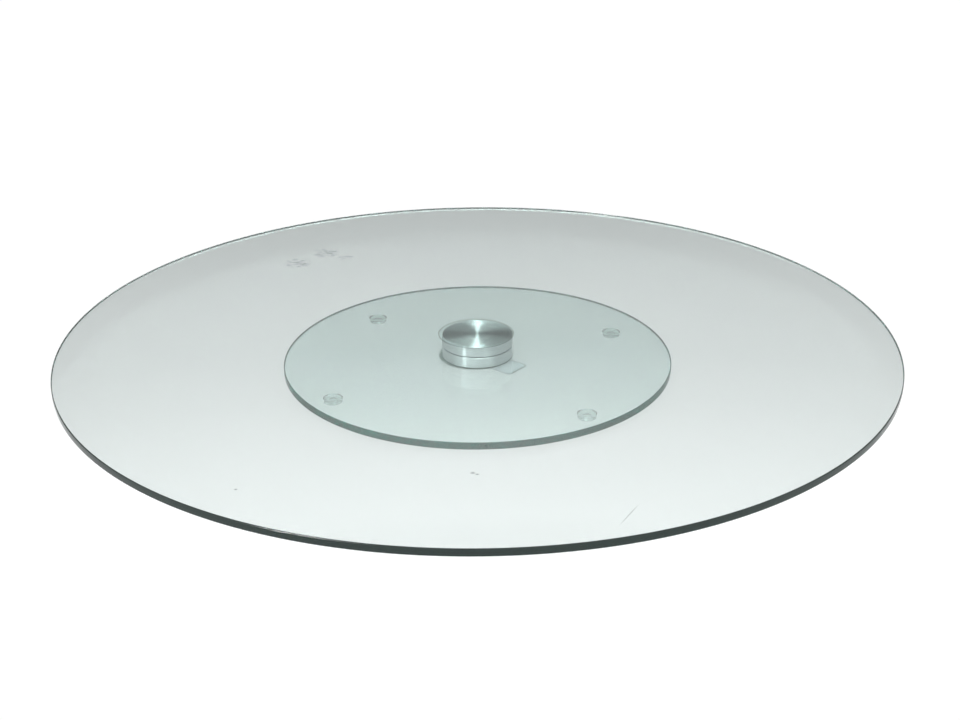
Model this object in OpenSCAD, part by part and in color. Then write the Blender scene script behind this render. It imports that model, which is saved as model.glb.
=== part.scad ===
/* [Turntable plate] */
// Diameter of the large glass plate that turns
plate_d = 700; // [500:10:900]
// Thickness of the large glass plate
plate_t = 6; // [5:0.5:10]

/* [Base plate] */
// Diameter of the small glass plate that stands still
base_d = 330; // [260:2:420]
// Thickness of the small glass plate
base_t = 6; // [5:0.5:10]
// Width of the flat ground along each edge of both glass plates
arris = 0.6; // [0.3:0.1:1.2]

/* [Swivel hub] */
// Diameter of the two aluminium flanges
hub_d = 60; // [50:1:80]
// Height of each flange
flange_h = 9.2; // [7.6:0.2:14]
// Gap between the two flanges
seam = 0.8; // [0.6:0.1:1.6]
// Wall between the bearing pocket and the outside of a flange
hub_wall = 4.5; // [3:0.5:6]
// Chamfer on the outer edges of a flange
hub_chamfer = 0.5; // [0.2:0.1:1]

/* [Thrust bearing] */
// Diameter of a bearing ball
ball_d = 5; // [4:0.5:6]
// Number of bearing balls
ball_count = 16; // [8:1:18]
// Thickness of a race washer
race_t = 2.4; // [2:0.1:3]
// Thickness of the ball cage
cage_t = 1.6; // [1:0.2:2]
// Clearance between a ball and each groove
ball_gap = 0.05; // [0.02:0.01:0.1]

/* [Pivot] */
// Diameter of the screw's plain shoulder
shoulder_d = 8; // [6:0.5:10]
// Diameter of the screw's threaded end
thread_d = 6; // [4:0.5:6]
// Diameter of the screw's head
head_d = 13; // [12:0.5:15]
// Height of the screw's head
head_h = 2.6; // [2.4:0.1:3]
// Width across the flats of the screw's hexagon socket
socket_af = 4; // [3:0.5:5]
// Radial clearance of the shoulder in the bush
pivot_gap = 0.05; // [0.02:0.01:0.1]
// Wall of the pivot bush
bush_wall = 2; // [1:0.5:3]
// Thickness of the bush's flange
bush_flange_t = 1; // [0.8:0.1:1.5]
// Thickness of the nylon wear washer
wear_t = 0.5; // [0.3:0.1:0.8]
// Thickness of the dished spring's strip
spring_t = 0.4; // [0.3:0.1:0.5]
// Free height of the dished spring
spring_h = 0.8; // [0.6:0.1:1]
// Thickness of the steel washer on the screw's head
washer_t = 0.8; // [0.5:0.1:1]

/* [Feet and films] */
// Diameter of a foot where it meets the glass
foot_d = 16; // [12:1:20]
// Height of a foot
foot_h = 4; // [3:0.5:6]
// Distance of each foot's centre in from the edge of the base plate
foot_insets = [34, 36, 24, 24.5]; // [12:0.5:60]
// Direction of each foot from the axis, in degrees
foot_bearings = [24, 135, 214, 307.5]; // [0:0.5:360]
// Thickness of the glue and tape films
film_t = 0.2; // [0.1:0.05:0.4]
// Width of the glue squeezed out around the upper flange
glue_rim = 2.2; // [1:0.2:4]
// Width of the glue squeezed out around the lower flange
base_glue_rim = 1.8; // [1:0.2:4]
// Distance by which both rings of glue lie off centre
glue_shift = 1.2; // [0:0.2:3]
// Length of the clear label under the base plate
label_l = 42; // [30:1:60]
// Width of the clear label
label_w = 25; // [15:1:30]
// Direction of the label's long side, in degrees
label_turn = -40; // [-90:1:90]
// Centre of the label, right of the axis and in front of it
label_at = [18.6, -15.4]; // [-40:0.2:40]

/* [Hidden] */
$fn = 96;
hub_r = hub_d / 2;
ball_r = ball_d / 2;
shoulder_r = shoulder_d / 2;
seat_gap = 0.05;

// bearing, worked out from the ball and the hub's wall
race_w = 1.8 * ball_d;
race_out_r = hub_r - hub_wall;
race_in_r = race_out_r - race_w;
pitch_r = race_out_r - race_w / 2;
groove_depth = 0.16 * ball_d;
race_offset = ball_r - groove_depth;
cage_edge_gap = 0.5;
cage_hole_r = ball_r + 0.1;

// pivot, worked out from the shoulder
bush_r = shoulder_r + bush_wall;
bush_flange_r = bush_r + 2;
washer_gap = 0.1;
washer_r = bush_flange_r - 1;
washer_hole_r = shoulder_r + washer_gap;
head_clearance = 0.45;
spring_gap = 0.05;
under_bush = wear_t + spring_gap + spring_h + washer_t + head_h;
recess_depth = bush_flange_t + under_bush + head_clearance;
recess_r = bush_flange_r + 0.6;
thread_l = 0.6 * flange_h;
thread_gap = 0.03;
socket_depth = 1.5;
head_chamfer = 0.3;

// foot and label
foot_draft = 0.5;
foot_round = 1.2;
dimple_r = 3.5 / 16 * foot_d;
dimple_depth = 0.8;
dimple_ball_r = (dimple_r * dimple_r + dimple_depth * dimple_depth) / (2 * dimple_depth);
foot_film_edge = 0.5;
label_t = 0.1;
label_corner = 3.5;

// heights above the table
base_z = foot_h + film_t;
lower_z = base_z + base_t + film_t;
mid_z = lower_z + flange_h + seam / 2;
upper_z = mid_z + seam / 2;
plate_z = upper_z + flange_h + film_t;
lower_top_z = lower_z + flange_h;
recess_z = lower_z + recess_depth;
wear_z = recess_z - bush_flange_t - wear_t;
spring_z = wear_z - spring_gap - spring_h;
washer_z = spring_z - washer_t;
head_z = washer_z - head_h;

over = 1; // how far a cutter runs past a face

// points along an arc, from angle a0 to a1 about a centre
function arc(centre, r, a0, a1, steps = 6) = [
    for (k = [0:steps])
        let (a = a0 + (a1 - a0) * k / steps)
        centre + r * [cos(a), sin(a)]
];

// a flat ring from z = 0 up
module ring(outer_r, inner_r, h) {
    difference() {
        cylinder(r = outer_r, h = h);
        translate([0, 0, -over]) cylinder(r = inner_r, h = h + 2 * over);
    }
}

// a disc with the same chamfer on both outer edges, from z = 0 up
module chamfered_disc(r, h, chamfer) {
    rotate_extrude()
        polygon([[0, 0], [r - chamfer, 0], [r, chamfer], [r, h - chamfer], [r - chamfer, h], [0, h]]);
}

// moves a child to foot number i
module at_foot(i) {
    a = foot_bearings[i - 1];
    r = base_d / 2 - foot_insets[i - 1];
    translate([r * cos(a), r * sin(a), 0]) children();
}

// moves a child to ball number i
module at_ball(i) {
    a = 360 * (i - 1) / ball_count;
    translate([pitch_r * cos(a), pitch_r * sin(a), mid_z]) children();
}

// the path that the balls roll in, cut from both races
module ball_track() {
    translate([0, 0, mid_z])
        rotate_extrude() translate([pitch_r, 0]) circle(r = ball_r + ball_gap);
}

module race_pocket(z, h) {
    translate([0, 0, z]) ring(race_out_r + seat_gap, race_in_r - seat_gap, h);
}

module plate_glass() {
    color([0.80, 0.88, 0.86, 0.35])
        translate([0, 0, plate_z]) chamfered_disc(plate_d / 2, plate_t, arris);
}

module base_glass() {
    color([0.72, 0.84, 0.80, 0.35])
        translate([0, 0, base_z]) chamfered_disc(base_d / 2, base_t, arris);
}

// the glue between the upper flange and the large plate
module plate_film() {
    color([0.88, 0.92, 0.91, 0.5])
        translate([-glue_shift, 0, plate_z - film_t]) cylinder(r = hub_r + glue_rim, h = film_t);
}

// the glue between the base plate and the lower flange
module base_film() {
    color([0.88, 0.92, 0.91, 0.5])
        difference() {
            translate([-glue_shift, 0, lower_z - film_t]) cylinder(r = hub_r + base_glue_rim, h = film_t);
            translate([0, 0, lower_z - film_t - over]) cylinder(r = recess_r, h = film_t + 2 * over);
        }
}

module lower_flange() {
    color("silver")
        difference() {
            translate([0, 0, lower_z]) chamfered_disc(hub_r, flange_h, hub_chamfer);
            race_pocket(mid_z - race_offset - race_t, race_t + ball_d);
            translate([0, 0, lower_z - over]) cylinder(r = recess_r, h = recess_depth + over);
            translate([0, 0, lower_z]) cylinder(r = bush_r, h = flange_h + over);
        }
}

module upper_flange() {
    color("silver")
        difference() {
            translate([0, 0, upper_z]) chamfered_disc(hub_r, flange_h, hub_chamfer);
            race_pocket(upper_z - over, race_offset + race_t - seam / 2 + over);
            translate([0, 0, upper_z - over]) cylinder(r = thread_d / 2 + thread_gap, h = thread_l + over);
        }
}

module lower_race() {
    color("gray")
        difference() {
            translate([0, 0, mid_z - race_offset - race_t]) ring(race_out_r, race_in_r, race_t);
            ball_track();
        }
}

module upper_race() {
    color("gray")
        difference() {
            translate([0, 0, mid_z + race_offset]) ring(race_out_r, race_in_r, race_t);
            ball_track();
        }
}

module ball_cage() {
    color("ivory")
        difference() {
            translate([0, 0, mid_z - cage_t / 2])
                ring(race_out_r - cage_edge_gap, race_in_r + cage_edge_gap, cage_t);
            for (i = [1:ball_count])
                at_ball(i) translate([0, 0, -cage_t]) cylinder(r = cage_hole_r, h = 2 * cage_t);
        }
}

module ball(i) {
    color("lightgray") at_ball(i) sphere(r = ball_r);
}

// a flanged sleeve pressed up into the lower flange from below
module pivot_bush() {
    color("peru")
        difference() {
            union() {
                translate([0, 0, recess_z]) cylinder(r = bush_r, h = lower_top_z - recess_z);
                translate([0, 0, recess_z - bush_flange_t]) cylinder(r = bush_flange_r, h = bush_flange_t);
            }
            translate([0, 0, lower_z]) cylinder(r = shoulder_r + pivot_gap, h = flange_h + over);
        }
}

module wear_washer() {
    color("ivory") translate([0, 0, wear_z]) ring(bush_flange_r, washer_hole_r, wear_t);
}

// a dished washer: its rim stands on the steel washer and its eye reaches up
module spring_washer() {
    color("dimgray")
        translate([0, 0, spring_z])
            rotate_extrude()
                polygon([
                    [washer_hole_r, spring_h - spring_t],
                    [washer_r, 0],
                    [washer_r, spring_t],
                    [washer_hole_r, spring_h]
                ]);
}

module steel_washer() {
    color("lightgray") translate([0, 0, washer_z]) ring(washer_r, washer_hole_r, washer_t);
}

// the screw goes up through the bush and into the upper flange
module pivot_screw() {
    color("gray")
        difference() {
            union() {
                translate([0, 0, head_z]) chamfered_disc(head_d / 2, head_h, head_chamfer);
                translate([0, 0, washer_z]) cylinder(r = shoulder_r, h = upper_z - washer_z);
                translate([0, 0, upper_z]) cylinder(r = thread_d / 2, h = thread_l - head_clearance);
            }
            translate([0, 0, head_z - over])
                cylinder(r = socket_af / sqrt(3), h = socket_depth + over, $fn = 6);
        }
}

// a tapered round bumper with a shallow dimple in its sole
module foot(i) {
    sole_r = foot_d / 2 - foot_draft;
    color([0.86, 0.90, 0.88, 0.6])
        at_foot(i)
            difference() {
                rotate_extrude()
                    polygon(concat(
                        [[0, 0]],
                        arc([sole_r - foot_round, foot_round], foot_round, -90, 0),
                        [[foot_d / 2, foot_h], [0, foot_h]]
                    ));
                translate([0, 0, dimple_depth - dimple_ball_r]) sphere(r = dimple_ball_r);
            }
}

module foot_film(i) {
    color([0.88, 0.92, 0.91, 0.5])
        at_foot(i) translate([0, 0, foot_h]) cylinder(r = foot_d / 2 - foot_film_edge, h = film_t);
}

module clear_label() {
    color([0.86, 0.92, 0.91, 0.5])
        translate([label_at.x, label_at.y, base_z - label_t])
            rotate(label_turn)
                linear_extrude(label_t) {
                    square([label_l - 2 * label_corner, label_w], center = true);
                    square([label_l, label_w - 2 * label_corner], center = true);
                    for (x = [-1, 1], y = [-1, 1])
                        translate([x * (label_l / 2 - label_corner), y * (label_w / 2 - label_corner)])
                            circle(r = label_corner);
                }
}

base_glass();
base_film();
lower_flange();
lower_race();
pivot_bush();
wear_washer();
clear_label();
plate_glass();
plate_film();
upper_flange();
upper_race();
pivot_screw();
spring_washer();
steel_washer();
ball_cage();
for (i = [1:ball_count])
    ball(i);
for (i = [1:len(foot_bearings)])
    foot(i);
for (i = [1:len(foot_bearings)])
    foot_film(i);
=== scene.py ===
import math

import bpy
from mathutils import Matrix, Vector


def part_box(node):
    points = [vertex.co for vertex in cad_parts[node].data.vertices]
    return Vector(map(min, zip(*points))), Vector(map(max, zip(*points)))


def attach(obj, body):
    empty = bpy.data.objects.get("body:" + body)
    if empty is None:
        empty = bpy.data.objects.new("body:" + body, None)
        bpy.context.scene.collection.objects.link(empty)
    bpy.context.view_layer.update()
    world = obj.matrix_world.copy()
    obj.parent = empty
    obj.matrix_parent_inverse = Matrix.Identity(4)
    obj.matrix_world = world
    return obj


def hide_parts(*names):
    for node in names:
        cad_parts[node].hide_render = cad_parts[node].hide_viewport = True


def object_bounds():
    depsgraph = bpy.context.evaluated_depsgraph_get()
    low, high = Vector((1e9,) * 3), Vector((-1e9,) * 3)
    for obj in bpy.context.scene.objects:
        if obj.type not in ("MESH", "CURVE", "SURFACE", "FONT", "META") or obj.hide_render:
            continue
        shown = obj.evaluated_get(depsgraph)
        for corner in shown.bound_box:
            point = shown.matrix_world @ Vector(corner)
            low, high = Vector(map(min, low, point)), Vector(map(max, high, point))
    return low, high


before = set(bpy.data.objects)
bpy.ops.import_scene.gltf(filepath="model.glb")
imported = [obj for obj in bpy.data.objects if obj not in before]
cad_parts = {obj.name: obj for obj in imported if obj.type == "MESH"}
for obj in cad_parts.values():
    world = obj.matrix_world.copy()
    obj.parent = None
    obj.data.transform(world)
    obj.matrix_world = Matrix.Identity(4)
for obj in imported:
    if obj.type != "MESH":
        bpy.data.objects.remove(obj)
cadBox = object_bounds()
print("frame loaded:", len(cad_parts), "nodes")

mm = 0.001  # one millimetre in metres
noiseSpan = (0.3, 0.7)  # nearly all values of a noise texture lie between these
leastRoughness = 0.02


# sRGB hex to the linear colour that shaders take
def hexColour(text):
    levels = [int(text[i:i + 2], 16) / 255 for i in (1, 3, 5)]
    return [c / 12.92 if c <= 0.04045 else ((c + 0.055) / 1.055) ** 2.4 for c in levels] + [1.0]


# adds one node; settings go to its properties or inputs, links maps an input to a socket
def addNode(tree, kind, settings=None, links=None):
    node = tree.nodes.new(kind)
    for name, value in (settings or {}).items():
        if isinstance(name, str) and hasattr(node, name):
            setattr(node, name, value)
        else:
            node.inputs[name].default_value = value
    for name, socket in (links or {}).items():
        tree.links.new(socket, node.inputs[name])
    return node


# a material with a Principled shader joined to its output
def newMaterial(name, settings):
    material = bpy.data.materials.new(name)
    material.use_nodes = True
    tree = material.node_tree
    tree.nodes.clear()
    shader = addNode(tree, "ShaderNodeBsdfPrincipled", settings)
    addNode(tree, "ShaderNodeOutputMaterial", links={"Surface": shader.outputs["BSDF"]})
    return material, tree, shader


# distance from the swivel axis, which the lathe marks follow
def axisDistance(tree):
    place = addNode(tree, "ShaderNodeTexCoord")
    flat = addNode(tree, "ShaderNodeVectorMath", {"operation": "MULTIPLY", 1: (1, 1, 0)},
                   {0: place.outputs["Object"]})
    reach = addNode(tree, "ShaderNodeVectorMath", {"operation": "LENGTH"}, {0: flat.outputs["Vector"]})
    return reach.outputs["Value"]


plateWear = {
    "smudges": [(-173, 177, 15), (-149, 206, 15), (-128, 190, 9)],  # x, y and radius, mm
    "smudgeStrength": 2.5,
    "greaseGrain": 5,  # mm
    "greaseEdges": (0.47, 0.6),  # noise values at which grease begins and is full
    "greaseTint": "#AEB8B6",
    "specks": [(-4, -252, 2.4), (-1, -254, 1.8), (-163, -272, 1.6)],  # x, y and radius, mm
    "speckTint": "#6F7B79",
    "scratch": (97, -310, 60, 34, 1.3),  # x, y, direction in degrees, length and width, mm
    "scratchFade": 0.4,  # share of the scratch that is at full strength
    "scratchTint": "#A9B4B2",
}

glassLook = {
    "ior": 1.52,
    # plate tint: the glass's faint green cast, plus a grey that paints the shade of the floor seen under the
    # plate
    "plateTintAndShade": "#D8DFDE",
    "plateClearness": 1.0,
    "baseTint": "#F5FFFD",
    "baseClearness": 0.94,
    # edge tints and clearness: darker copies of the glass that paint the edges' dark green shade
    "plateEdgePaintedShade": "#3D514D",
    "plateEdgeShadedClearness": 0.55,
    "baseEdgePaintedShade": "#094A3F",
    "baseEdgeShadedClearness": 0.3,
    "edgeRoughness": 0.12,
    "edgeShine": 0.12,
}


def toughenedFloatGlass(name, tint, clearness):
    # toughened soda-lime float glass, fire-polished faces: mirror-smooth, faint green cast
    return newMaterial(name, {
        "Base Color": hexColour(tint),
        "Roughness": 0.0,
        "IOR": glassLook["ior"],
        "Transmission Weight": clearness,
    })


# how much each round spot covers, 1 at its middle and 0 at its radius
def spotMask(tree, place, spots, height):
    total = None
    for x, y, radius in spots:
        gap = addNode(tree, "ShaderNodeVectorMath", {"operation": "DISTANCE", 1: (x * mm, y * mm, height)},
                      {0: place})
        spot = addNode(tree, "ShaderNodeMapRange", {"From Min": radius * mm, "From Max": 0.0},
                       {"Value": gap.outputs["Value"]}).outputs["Result"]
        if total is None:
            total = spot
        else:
            total = addNode(tree, "ShaderNodeMath", {"operation": "MAXIMUM"}, {0: total, 1: spot}).outputs[0]
    return total


# a straight fine line on the top face, fading at its ends
def lineMask(tree, place, line, fadeStart, height):
    x, y, direction, length, width = line
    turned = addNode(tree, "ShaderNodeMapping", {
        "vector_type": "TEXTURE",
        "Location": (x * mm, y * mm, height),
        "Rotation": (0, 0, math.radians(direction)),
        "Scale": (length * mm / 2, width * mm / 2, mm),
    }, {"Vector": place})
    reach = addNode(tree, "ShaderNodeVectorMath", {"operation": "LENGTH"}, {0: turned.outputs["Vector"]})
    fade = addNode(tree, "ShaderNodeMapRange", {"From Min": 1.0, "From Max": fadeStart},
                   {"Value": reach.outputs["Value"]})
    return fade.outputs["Result"]


def wornPlateGlass(name, tint, wear):
    # the same glass after handling: a greasy finger smear, a few specks and a hair scratch on the top face
    material, tree, shader = toughenedFloatGlass(name, tint, glassLook["plateClearness"])
    place = addNode(tree, "ShaderNodeTexCoord").outputs["Object"]
    top = cadBox[1].z
    grease = addNode(tree, "ShaderNodeTexNoise", {
        "Scale": 1 / (wear["greaseGrain"] * mm), "Detail": 4.0, "Roughness": 0.65,
    }, {"Vector": place})
    begin, full = wear["greaseEdges"]
    streaks = addNode(tree, "ShaderNodeMapRange", {"From Min": begin, "From Max": full},
                      {"Value": grease.outputs["Fac"]})
    spread = addNode(tree, "ShaderNodeMath", {
        "operation": "MULTIPLY", 1: wear["smudgeStrength"], "use_clamp": True,
    }, {0: spotMask(tree, place, wear["smudges"], top)})
    smear = addNode(tree, "ShaderNodeMath", {"operation": "MULTIPLY"},
                    {0: spread.outputs[0], 1: streaks.outputs["Result"]})
    specks = spotMask(tree, place, wear["specks"], top)
    scratch = lineMask(tree, place, wear["scratch"], wear["scratchFade"], top)
    colour = hexColour(tint)
    for mask, shade in ((smear.outputs[0], "greaseTint"), (specks, "speckTint"), (scratch, "scratchTint")):
        mix = addNode(tree, "ShaderNodeMix", {"data_type": "RGBA", 7: hexColour(wear[shade])}, {0: mask})
        if isinstance(colour, list):
            mix.inputs[6].default_value = colour
        else:
            tree.links.new(colour, mix.inputs[6])
        colour = mix.outputs[2]
    tree.links.new(colour, shader.inputs["Base Color"])
    return material


def shadedGlassEdge(name, tint, clearness):
    # ground and polished edge of the same glass, made a darker, less clear copy of it: painted shade for the
    # dark green that light takes on running the plate's width
    return newMaterial(name, {
        "Base Color": hexColour(tint),
        "Roughness": glassLook["edgeRoughness"],
        "IOR": glassLook["ior"],
        "Specular IOR Level": glassLook["edgeShine"],
        "Transmission Weight": clearness,
    })[0]


aluminiumLook = {
    "colour": "#DFE7E7",
    "roughness": 0.25,
    "sideRoughness": 0.36,
    "roughnessChange": (-0.04, 0.06),  # from mark to mark
    "anisotropy": 1.0,
    "spreadTurn": 0.25,  # a quarter turn, so that light spreads across the marks
    "feed": 0.35,  # mm between lathe marks; real ones are 0.08 mm, too fine to show
    "markDepth": 0.004,  # mm
    "markStrength": 0.6,
}


def turnedAluminium():
    # 6061 aluminium bar, face-turned with a diamond tip: fine rings that spread light into two wedges
    material, tree, shader = newMaterial("turnedAluminium", {
        "Base Color": hexColour(aluminiumLook["colour"]),
        "Metallic": 1.0,
        "Roughness": aluminiumLook["roughness"],
        "Anisotropic": aluminiumLook["anisotropy"],
        "Anisotropic Rotation": aluminiumLook["spreadTurn"],
    })
    tangent = addNode(tree, "ShaderNodeTangent", {"direction_type": "RADIAL", "axis": "Z"})
    tree.links.new(tangent.outputs["Tangent"], shader.inputs["Tangent"])
    rings = addNode(tree, "ShaderNodeTexNoise", {
        "noise_dimensions": "1D", "Scale": 1 / (aluminiumLook["feed"] * mm), "Detail": 2.0,
    }, {"W": axisDistance(tree)})
    geometry = addNode(tree, "ShaderNodeNewGeometry")
    facing = addNode(tree, "ShaderNodeSeparateXYZ", links={"Vector": geometry.outputs["Normal"]})
    upright = addNode(tree, "ShaderNodeMath", {"operation": "ABSOLUTE"}, {0: facing.outputs["Z"]})
    feed = addNode(tree, "ShaderNodeMapRange", {
        "From Min": 0.0, "From Max": 1.0,
        "To Min": aluminiumLook["sideRoughness"], "To Max": aluminiumLook["roughness"],
    }, {"Value": upright.outputs[0]})
    least, most = aluminiumLook["roughnessChange"]
    change = addNode(tree, "ShaderNodeMapRange", {
        "From Min": noiseSpan[0], "From Max": noiseSpan[1], "To Min": least, "To Max": most,
    }, {"Value": rings.outputs["Fac"]})
    rough = addNode(tree, "ShaderNodeMath", {"operation": "ADD"},
                    {0: feed.outputs["Result"], 1: change.outputs["Result"]})
    tree.links.new(rough.outputs[0], shader.inputs["Roughness"])
    bump = addNode(tree, "ShaderNodeBump", {
        "Strength": aluminiumLook["markStrength"], "Distance": aluminiumLook["markDepth"] * mm,
    }, {"Height": rings.outputs["Fac"]})
    tree.links.new(bump.outputs["Normal"], shader.inputs["Normal"])
    return material


# grain is in mm, change is how far the grain varies the roughness, shader holds the shader's own inputs
finishLook = {
    # cured acrylic glue, clear and bonded to the glass, so it hardly bends the light that passes on
    "curedAcrylicGlue": {
        "colour": "#F4F8F7", "grain": 3.0, "change": 0.02,
        "shader": {"Roughness": 0.03, "IOR": 1.1, "Transmission Weight": 1.0},
    },
    # the same glue at its rim round the hub, made grey: painted contact shade around the foot of the hub
    "glueRimPaintedShade": {
        "colour": "#9DADA8", "grain": 0.8, "change": 0.1,
        "shader": {"Roughness": 0.3, "IOR": 1.2, "Transmission Weight": 0.7},
    },
    # its outermost thread under the plate, darker still
    "thinGlueRim": {
        "colour": "#4E5F5A", "grain": 0.8, "change": 0.1,
        "shader": {"Roughness": 0.3, "IOR": 1.3, "Transmission Weight": 0.45},
    },
    # clear polyester film, faintly milky and bonded to the glass
    "clearPolyesterLabel": {
        "colour": "#F6FCFF", "grain": 2.0, "change": 0.04,
        "shader": {"Roughness": 0.1, "IOR": 1.1, "Transmission Weight": 0.9},
    },
    # its border, hazy where air has crept in
    "hazyLabelBorder": {
        "colour": "#7F9590", "grain": 0.8, "change": 0.1,
        "shader": {"Roughness": 0.35, "IOR": 1.3, "Transmission Weight": 0.7},
    },
    # cast polyurethane: water-clear with a soft gloss
    "castPolyurethane": {
        "colour": "#F6FAF8", "grain": 2.0, "change": 0.02,
        "shader": {"Roughness": 0.04, "IOR": 1.32, "Transmission Weight": 1.0},
    },
    # through-hardened bearing steel, ground: bright with a fine grain
    "groundBearingSteel": {
        "colour": "#A9ABAD", "grain": 0.3, "change": 0.05,
        "shader": {"Roughness": 0.18, "Metallic": 1.0},
    },
    # the same steel lapped: a near mirror
    "lappedBallSteel": {
        "colour": "#C3C5C8", "grain": 0.5, "change": 0.02,
        "shader": {"Roughness": 0.06, "Metallic": 1.0},
    },
    # injection-moulded nylon: waxy, cream coloured
    "mouldedNylon": {
        "colour": "#DDD8C6", "grain": 0.6, "change": 0.08,
        "shader": {"Roughness": 0.5},
    },
    # nylon sheet: paler and a little glossier
    "stampedNylonSheet": {
        "colour": "#E6E3D8", "grain": 0.6, "change": 0.06,
        "shader": {"Roughness": 0.42},
    },
    # sintered bronze, oil-soaked: brown and slightly porous
    "sinteredBronze": {
        "colour": "#A47C4C", "grain": 0.2, "change": 0.12,
        "shader": {"Roughness": 0.42, "Metallic": 1.0},
    },
    # bright zinc on mild steel: bluish, softly shiny
    "zincPlatedSteel": {
        "colour": "#B9BBBF", "grain": 0.8, "change": 0.08,
        "shader": {"Roughness": 0.3, "Metallic": 1.0},
    },
    # blued spring steel with a film of oil: dark and sleek
    "bluedSpringSteel": {
        "colour": "#4A4D55", "grain": 0.5, "change": 0.08,
        "shader": {"Roughness": 0.3, "Metallic": 1.0},
    },
}


# one of the finishes above, its gloss varied a little by its grain
def grainedFinish(name, look):
    material, tree, shader = newMaterial(name, {"Base Color": hexColour(look["colour"]), **look["shader"]})
    place = addNode(tree, "ShaderNodeTexCoord").outputs["Object"]
    noise = addNode(tree, "ShaderNodeTexNoise", {"Scale": 1 / (look["grain"] * mm), "Detail": 3.0},
                    {"Vector": place})
    level, change = look["shader"]["Roughness"], look["change"]
    rough = addNode(tree, "ShaderNodeMapRange", {
        "From Min": noiseSpan[0], "From Max": noiseSpan[1],
        "To Min": max(level - change, leastRoughness), "To Max": level + change,
    }, {"Value": noise.outputs["Fac"]})
    tree.links.new(rough.outputs["Result"], shader.inputs["Roughness"])
    return material


# the plate's tint carries painted shade of the floor under it as well as the glass's green cast
plateGlass = wornPlateGlass("toughenedPlateGlass", glassLook["plateTintAndShade"], plateWear)
baseGlass = toughenedFloatGlass("toughenedBaseGlass", glassLook["baseTint"], glassLook["baseClearness"])[0]
plateEdge = shadedGlassEdge("shadedPlateEdge", glassLook["plateEdgePaintedShade"],
                              glassLook["plateEdgeShadedClearness"])
baseEdge = shadedGlassEdge("shadedBaseEdge", glassLook["baseEdgePaintedShade"], glassLook["baseEdgeShadedClearness"])
aluminium = turnedAluminium()
finishes = {name: grainedFinish(name, look) for name, look in finishLook.items()}
print("materials made:", len(bpy.data.materials))

nodeFinish = {
    "upper_flange": aluminium,
    "lower_flange": aluminium,
    "lower_race": finishes["groundBearingSteel"],
    "upper_race": finishes["groundBearingSteel"],
    "ball_cage": finishes["mouldedNylon"],
    "pivot_bush": finishes["sinteredBronze"],
    "wear_washer": finishes["stampedNylonSheet"],
    "steel_washer": finishes["zincPlatedSteel"],
    "pivot_screw": finishes["zincPlatedSteel"],
    "spring_washer": finishes["bluedSpringSteel"],
}
for name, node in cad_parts.items():
    finish = nodeFinish.get(name)
    if name.startswith("ball_") and name != "ball_cage":
        finish = finishes["lappedBallSteel"]
    if name.startswith("foot_") and not name.startswith("foot_film_"):
        finish = finishes["castPolyurethane"]
    if finish:
        for slot in node.material_slots:
            slot.material = finish


# turns an outline of (radius, height) points about an upright line; faceSlots has each band's material
def turnedPiece(name, outline, segments, materials, faceSlots, centre=(0, 0), sharpRings=()):
    mesh = bpy.data.meshes.new(name)
    points, rings, faces, slots = [], [], [], []
    for radius, height in outline:
        if radius == 0:
            rings.append([len(points)])
            points.append((centre[0], centre[1], height))
            continue
        rings.append(list(range(len(points), len(points) + segments)))
        for k in range(segments):
            a = 2 * math.pi * k / segments
            points.append((centre[0] + radius * math.cos(a), centre[1] + radius * math.sin(a), height))
    for band in range(len(rings) - 1):
        low, high = rings[band], rings[band + 1]
        for k in range(segments):
            n = (k + 1) % segments
            corners = [low[k % len(low)], low[n % len(low)], high[n % len(high)], high[k % len(high)]]
            faces.append(list(dict.fromkeys(corners)))
            slots.append(faceSlots[band])
    mesh.from_pydata(points, [], faces)
    for material in materials:
        mesh.materials.append(material)
    mesh.polygons.foreach_set("material_index", slots)
    mesh.polygons.foreach_set("use_smooth", [True] * len(faces))
    sharp = {frozenset((rings[r][k], rings[r][(k + 1) % segments]))
             for r in sharpRings for k in range(segments)}
    mark = mesh.attributes.new("sharp_edge", "BOOLEAN", "EDGE")
    mark.data.foreach_set("value", [frozenset(e.vertices) in sharp for e in mesh.edges])
    mesh.update()
    piece = bpy.data.objects.new(name, mesh)
    bpy.context.scene.collection.objects.link(piece)
    return piece


plateShape = {
    "segments": 360,
    "arris": 0.6,  # mm, as ground
    "arrisRound": 0.15,  # mm, softening of each arris corner
    "arrisSteps": 4,
}


# a soft bend between two outline points, bulging towards corner
def rounded(start, corner, end):
    curve = []
    for k in range(plateShape["arrisSteps"] + 1):
        t = k / plateShape["arrisSteps"]
        curve.append(tuple((1 - t) ** 2 * a + 2 * t * (1 - t) * b + t * t * c
                           for a, b, c in zip(start, corner, end)))
    return curve


# a round glass plate: flat faces, upright polished edge, an arris at each rim
def glassPlate(name, node, faceMaterial, edgeMaterial):
    low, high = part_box(node)
    radius, bottom, top = high.x, low.z, high.z
    arris, soft = plateShape["arris"] * mm, plateShape["arrisRound"] * mm
    lowerRim = rounded((radius - arris - soft, bottom), (radius - arris, bottom),
                       (radius - arris + soft, bottom + soft))
    lowerTurn = rounded((radius - soft, bottom + arris - soft), (radius, bottom + arris),
                        (radius, bottom + arris + soft))
    upperTurn = [(r, bottom + top - z) for r, z in reversed(lowerTurn)]
    upperRim = [(r, bottom + top - z) for r, z in reversed(lowerRim)]
    outline = [(0, bottom)] + lowerRim + lowerTurn + upperTurn + upperRim + [(0, top)]
    bands = len(outline) - 1
    faceSlots = [0] + [1] * (bands - 2) + [0]
    piece = turnedPiece(name, outline, plateShape["segments"], [faceMaterial, edgeMaterial], faceSlots,
                        sharpRings=(1, len(outline) - 2))
    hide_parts(node)
    return piece


plate = glassPlate("turntable_plate", "plate_glass", plateGlass, plateEdge)
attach(plate, "top")
base = glassPlate("base_plate", "base_glass", baseGlass, baseEdge)
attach(base, "base")
print("glass plates made")

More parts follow.
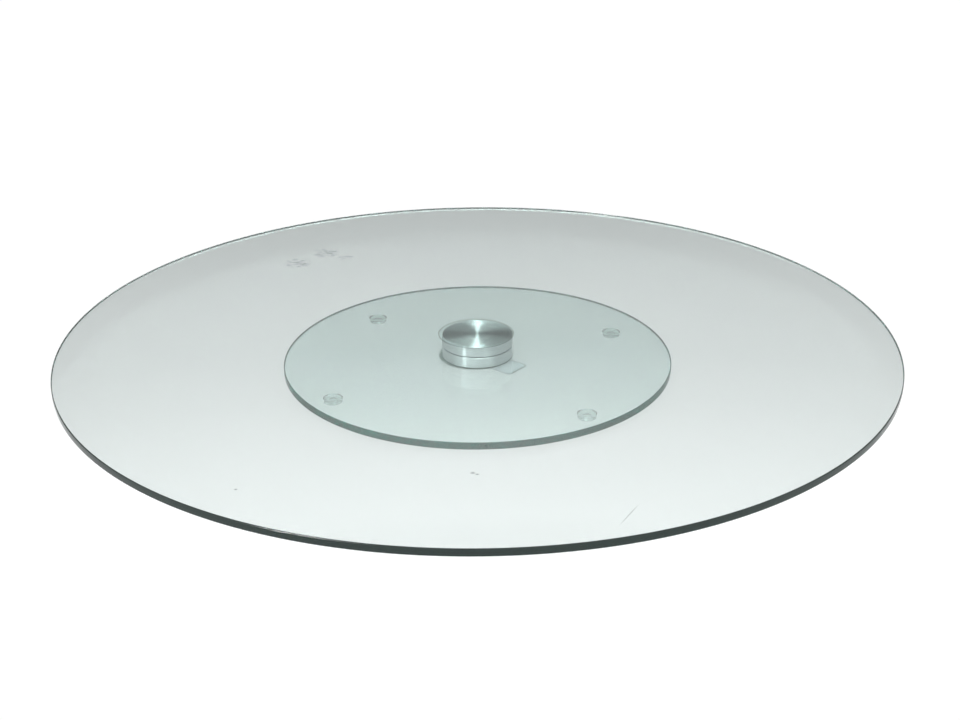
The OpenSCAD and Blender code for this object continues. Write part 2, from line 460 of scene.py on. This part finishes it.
filmShape = {
    "skin": 0.015,  # mm of air above and below, so that faces never lie in one plane
    "segments": 128,
    "plateRim": 0.8,  # mm, border where the glue under the plate thins out
    "baseShadeRim": 3.2,  # "baseShadeRim": 3.2, # mm, the same around the lower flange, where its grey rim paints the hub's contact shade
    "baseHole": 10,  # mm, radius of the hole in the glue under the hub
    "bulgeStep": 30,  # degrees between points of the bulging rim
}


# a film of glue or tape: a flat disc or ring just inside its CAD solid; rim is its darker border's width
def gluePiece(name, node, body, rimFinish="curedAcrylicGlue", rim=0.0, innerRadius=0.0):
    low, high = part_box(node)
    skin = filmShape["skin"] * mm
    centre = ((low.x + high.x) / 2, (low.y + high.y) / 2)
    radius = (high.y - low.y) / 2
    bottom, top = low.z + skin, high.z - skin
    half = (top - bottom) / 2
    bulge = [(radius - half + half * math.cos(a), bottom + half + half * math.sin(a))
             for a in (math.radians(d) for d in range(-90, 91, filmShape["bulgeStep"]))]
    outline = [(innerRadius, bottom)] + bulge + [(innerRadius, top)]
    slots = [0] * (len(outline) - 1)
    if rim:
        outline[1:1] = [(radius - rim, bottom)]
        outline[-1:-1] = [(radius - rim, top)]
        slots = [0] + [1] * (len(outline) - 3) + [0]
    if innerRadius:
        outline.append(outline[0])
        slots.append(0)
    piece = turnedPiece(name, outline, filmShape["segments"],
                        [finishes["curedAcrylicGlue"], finishes[rimFinish]], slots, centre)
    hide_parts(node)
    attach(piece, body)


gluePiece("plate_glue", "plate_film", "top", "thinGlueRim", filmShape["plateRim"] * mm)
# the base glue's grey rim is painted contact shade around the foot of the hub
gluePiece("base_glue", "base_film", "base", "glueRimPaintedShade", filmShape["baseShadeRim"] * mm,
          filmShape["baseHole"] * mm)
for name in sorted(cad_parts):
    if name.startswith("foot_film_"):
        gluePiece(name.replace("film", "tape"), name, "base")
print("glue and tape made")

labelShape = {
    "length": 42,  # mm
    "width": 25,  # mm
    "corner": 3.5,  # mm
    "turn": -40,  # degrees
    "centre": (18.6, -15.4),  # mm
    "cornerSteps": 8,
    "border": 0.9,  # mm
}


# the blank clear label under the base plate, with a hazy border
def labelPiece():
    low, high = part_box("clear_label")
    skin = filmShape["skin"] * mm
    corner = labelShape["corner"]
    halfLength, halfWidth = labelShape["length"] / 2 - corner, labelShape["width"] / 2 - corner
    outline = []
    for sideX, sideY, start in ((1, 1, 0), (-1, 1, 90), (-1, -1, 180), (1, -1, 270)):
        for k in range(labelShape["cornerSteps"] + 1):
            a = math.radians(start + 90 * k / labelShape["cornerSteps"])
            outline.append((sideX * halfLength + corner * math.cos(a),
                            sideY * halfWidth + corner * math.sin(a)))
    turn = Matrix.Rotation(math.radians(labelShape["turn"]), 2)
    centre = Vector(labelShape["centre"])
    inset = 1 - 2 * labelShape["border"] / labelShape["width"]
    n = len(outline)
    rings = []
    bottom, top = low.z + skin, high.z - skin
    for share, height in ((inset, bottom), (1, bottom), (1, top), (inset, top)):
        rings += [(*((turn @ Vector((x * share, y * share)) + centre) * mm), height) for x, y in outline]
    faces = [list(range(n))[::-1], list(range(3 * n, 4 * n))]
    for start in (0, n, 2 * n):
        for k in range(n):
            after = (k + 1) % n
            faces.append([start + k, start + after, start + n + after, start + n + k])
    mesh = bpy.data.meshes.new("blank_label")
    mesh.from_pydata(rings, [], faces)
    mesh.materials.append(finishes["clearPolyesterLabel"])
    mesh.materials.append(finishes["hazyLabelBorder"])
    mesh.polygons.foreach_set("material_index", [0, 0] + [1] * (3 * n))
    piece = bpy.data.objects.new("blank_label", mesh)
    bpy.context.scene.collection.objects.link(piece)
    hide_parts("clear_label")
    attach(piece, "base")


labelPiece()
print("label made")

studio = {
    "floorSize": 40,  # m
    "floorColour": "#484848",
    "floorGlow": 0.94,
    "floorDrop": 0.02,  # mm below the feet
    "skyBands": [  # height of a direction above the horizon in degrees, brightness
        (0, 0.9), (4, 0.6), (12, 0.1), (17, 0.03), (18.6, 0.13), (21, 0.29), (23.2, 0.38), (25.4, 0.66),
        (27.6, 1.08), (30.2, 1.55), (36, 1.2), (50, 0.8), (90, 0.8),
    ],
    "roomFill": 0.4,  # what the sides and front of the room add
    "roomEdges": (0.8, 0.3),  # how far back a direction points where that begins and is full
    "panelAim": (0, 0, 0.02),  # m, the middle of the hub
    "panels": {  # place and size in m
        "front_panel": {"place": (0.0, -1.7, 2.1), "width": 4.4, "length": 1.4, "level": 6.5},
        "streak_panel": {"place": (-1.25, -1.3, 0.7), "width": 0.3, "length": 1.6, "level": 300},
        "overhead_panel": {"place": (0.0, 0.5, 1.8), "width": 0.18, "length": 2.6, "level": 170},
        "overhead_side_panel": {"place": (-0.3, 0.5, 1.8), "width": 0.2, "length": 2.6, "level": 30},
    },
}


# a flat glowing sheet of the studio, level and centred on its own origin
def glowingSheet(name, width, length, colour, level):
    x, y = width / 2, length / 2
    mesh = bpy.data.meshes.new(name)
    mesh.from_pydata([(-x, -y, 0), (x, -y, 0), (x, y, 0), (-x, y, 0)], [], [(0, 1, 2, 3)])
    # matt acrylic or diffuser cloth lit from behind: an even glow with no shine
    mesh.materials.append(newMaterial(name + "_sheet", {
        "Base Color": hexColour(colour),
        "Roughness": 0.9,
        "Specular IOR Level": 0.0,
        "Emission Color": hexColour("#FFFFFF"),
        "Emission Strength": level,
    })[0])
    piece = bpy.data.objects.new(name, mesh)
    bpy.context.scene.collection.objects.link(piece)
    return piece


floor = glowingSheet("studio_floor", studio["floorSize"], studio["floorSize"], studio["floorColour"],
                     studio["floorGlow"])
floor.location.z = -studio["floorDrop"] * mm

world = bpy.data.worlds.new("studio_dome")
bpy.context.scene.world = world
world.use_nodes = True
sky = world.node_tree
sky.nodes.clear()
direction = addNode(sky, "ShaderNodeTexCoord")
parts = addNode(sky, "ShaderNodeSeparateXYZ", links={"Vector": direction.outputs["Generated"]})
height = addNode(sky, "ShaderNodeMath", {"operation": "ARCSINE"}, {0: parts.outputs["Z"]})
share = addNode(sky, "ShaderNodeMath", {"operation": "DIVIDE", 1: math.pi / 2}, {0: height.outputs[0]})
ramp = addNode(sky, "ShaderNodeValToRGB", links={"Fac": share.outputs[0]})
bands = studio["skyBands"]
brightest = max(level for degrees, level in bands)
while len(ramp.color_ramp.elements) < len(bands):
    ramp.color_ramp.elements.new(0.5)
for element, (degrees, level) in zip(ramp.color_ramp.elements, bands):
    element.position = degrees / 90  # the ramp runs from the horizon to straight up
    element.color = [level / brightest] * 3 + [1]
level = addNode(sky, "ShaderNodeMath", {"operation": "MULTIPLY", 1: brightest}, {0: ramp.outputs["Color"]})
roomBegins, roomFull = studio["roomEdges"]
room = addNode(sky, "ShaderNodeMapRange", {
    "interpolation_type": "SMOOTHSTEP", "From Min": roomBegins, "From Max": roomFull,
    "To Min": 0.0, "To Max": studio["roomFill"],
}, {"Value": parts.outputs["Y"]})
total = addNode(sky, "ShaderNodeMath", {"operation": "ADD"},
                {0: level.outputs[0], 1: room.outputs["Result"]})
dome = addNode(sky, "ShaderNodeBackground", {"Color": (1, 1, 1, 1)}, {"Strength": total.outputs[0]})
addNode(sky, "ShaderNodeOutputWorld", links={"Surface": dome.outputs["Background"]})

# softboxes turned to face the hub; they light the metal through the plate, whose top doesn't mirror them
for name, panel in studio["panels"].items():
    piece = glowingSheet(name, panel["width"], panel["length"], "#000000", panel["level"])
    piece.location = panel["place"]
    piece.rotation_euler = (Vector(studio["panelAim"]) - piece.location).to_track_quat("-Z", "Y").to_euler()
    piece.visible_camera = False
    piece.visible_diffuse = False
    piece.visible_glossy = False

view = {
    "place": (0.0, -1.0782, 0.4853),  # m
    "pitch": 23.84,  # degrees below level
    "pan": -0.11,  # degrees
    "roll": -0.48,  # degrees
    "lens": 51.4,  # mm
    "sensor": 36,  # mm wide
}
cameraData = bpy.data.cameras.new("camera")
cameraData.lens = view["lens"]
cameraData.sensor_width = view["sensor"]
camera = bpy.data.objects.new("camera", cameraData)
bpy.context.scene.collection.objects.link(camera)
turns = [Matrix.Rotation(math.radians(view["pan"]), 4, "Z"),
         Matrix.Rotation(math.radians(90 - view["pitch"]), 4, "X"),
         Matrix.Rotation(math.radians(view["roll"]), 4, "Z")]
camera.matrix_world = Matrix.Translation(view["place"]) @ turns[0] @ turns[1] @ turns[2]
bpy.context.scene.camera = camera
bpy.context.scene.view_settings.view_transform = "Standard"
print("studio set up")
